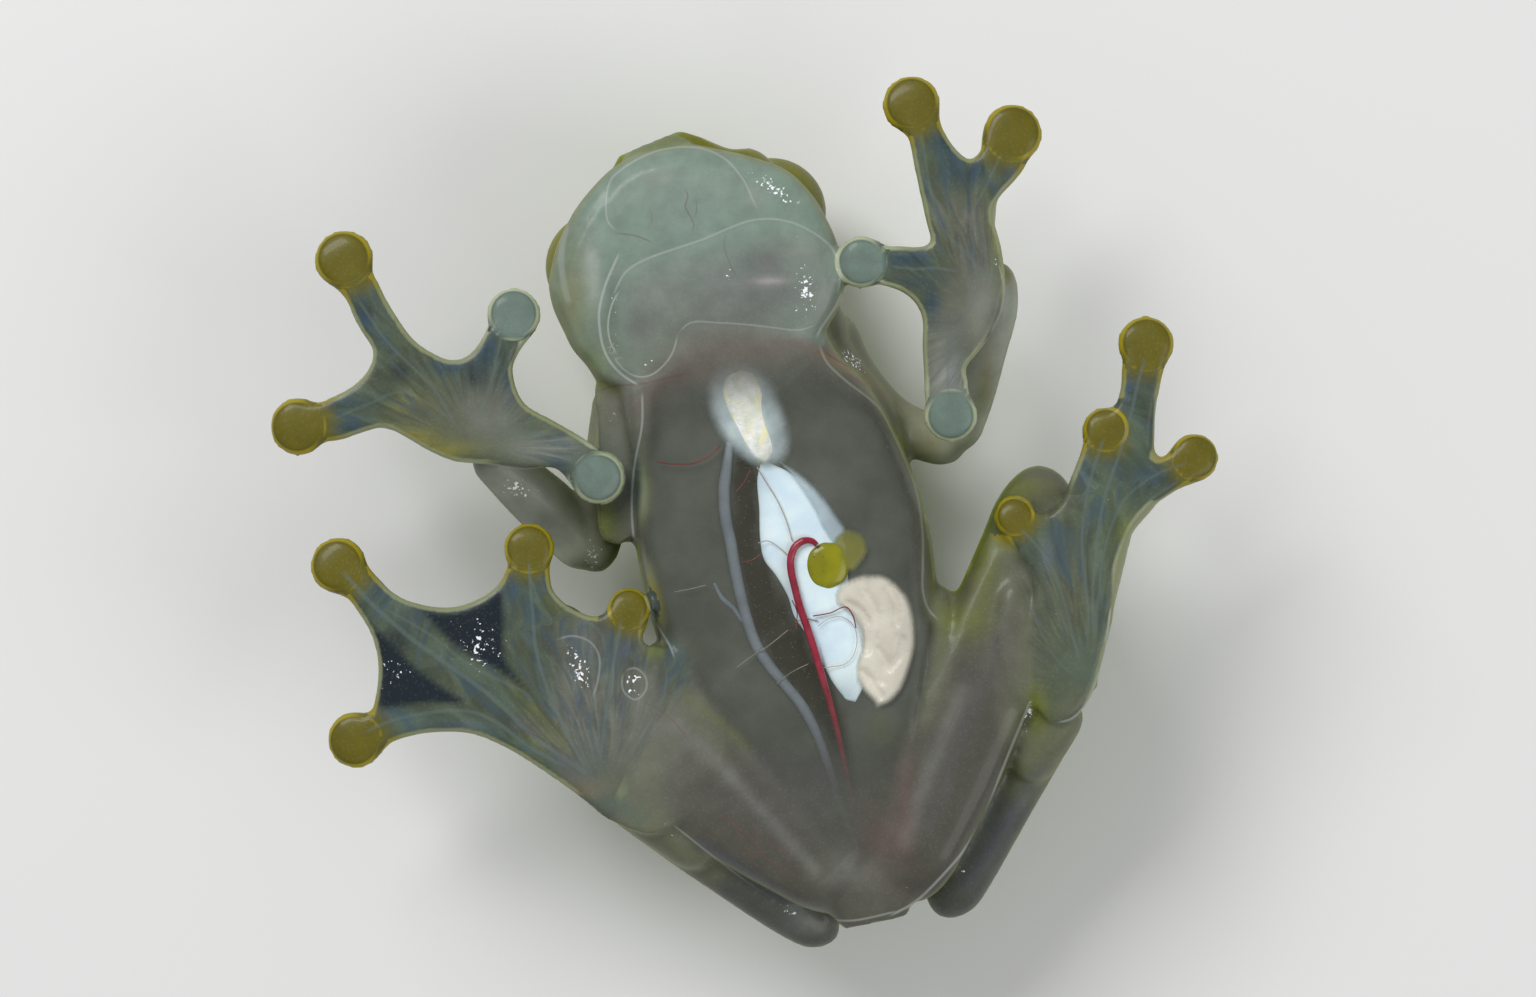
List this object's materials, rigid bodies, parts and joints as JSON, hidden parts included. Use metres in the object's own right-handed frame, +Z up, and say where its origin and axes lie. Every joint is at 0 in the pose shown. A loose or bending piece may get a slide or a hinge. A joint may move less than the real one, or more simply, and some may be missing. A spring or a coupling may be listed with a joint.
{
  "type": "glass frog model",
  "caption": "Still, life-size glass frog seen from its see-through belly, with splayed limbs, webbed hands and feet and round pads.",
  "frame": {"origin": "bottom centre of the bounding box, on the surface that the back rests on", "axes": "+Z up out of the belly, -Y towards the snout, +X towards the frog's own right side"},
  "size_m": [0.029, 0.0268, 0.0082],
  "materials": {
    "body_skin": "wet, translucent grey-green skin",
    "webbed_skin": "wet, thin, nearly clear skin of palms, soles and webs",
    "pale_pad": "wet, pale grey-green discs of the inner fingers",
    "yellow_pad": "wet, olive-yellow discs with a bright rim",
    "eye": "wet gold-brown eye with a dark pupil",
    "organ": "wet inner organs seen through the belly skin"
  },
  "bodies": {
    "root": {"torso": "body_skin", "eye_right": "eye", "eye_left": "eye", "head": "body_skin", "upper_arm_right": "body_skin", "hand_right": "webbed_skin", "forearm_right": "body_skin", "finger_1_right": "pale_pad", "finger_2_right": "pale_pad", "finger_3_right": "yellow_pad", "finger_4_right": "yellow_pad", "upper_arm_left": "body_skin", "hand_left": "webbed_skin", "forearm_left": "body_skin", "finger_1_left": "pale_pad", "finger_2_left": "pale_pad", "finger_3_left": "yellow_pad", "finger_4_left": "yellow_pad", "foot_right": "webbed_skin", "thigh_right": "body_skin", "tarsus_right": "body_skin", "shank_right": "body_skin", "toe_1_right": "yellow_pad", "toe_2_right": "yellow_pad", "toe_3_right": "yellow_pad", "toe_4_right": "yellow_pad", "toe_5_right": "yellow_pad", "foot_left": "webbed_skin", "thigh_left": "body_skin", "tarsus_left": "body_skin", "shank_left": "body_skin", "toe_1_left": "yellow_pad", "toe_2_left": "yellow_pad", "toe_3_left": "yellow_pad", "toe_4_left": "yellow_pad", "toe_5_left": "yellow_pad"}
  },
  "joints": []
}
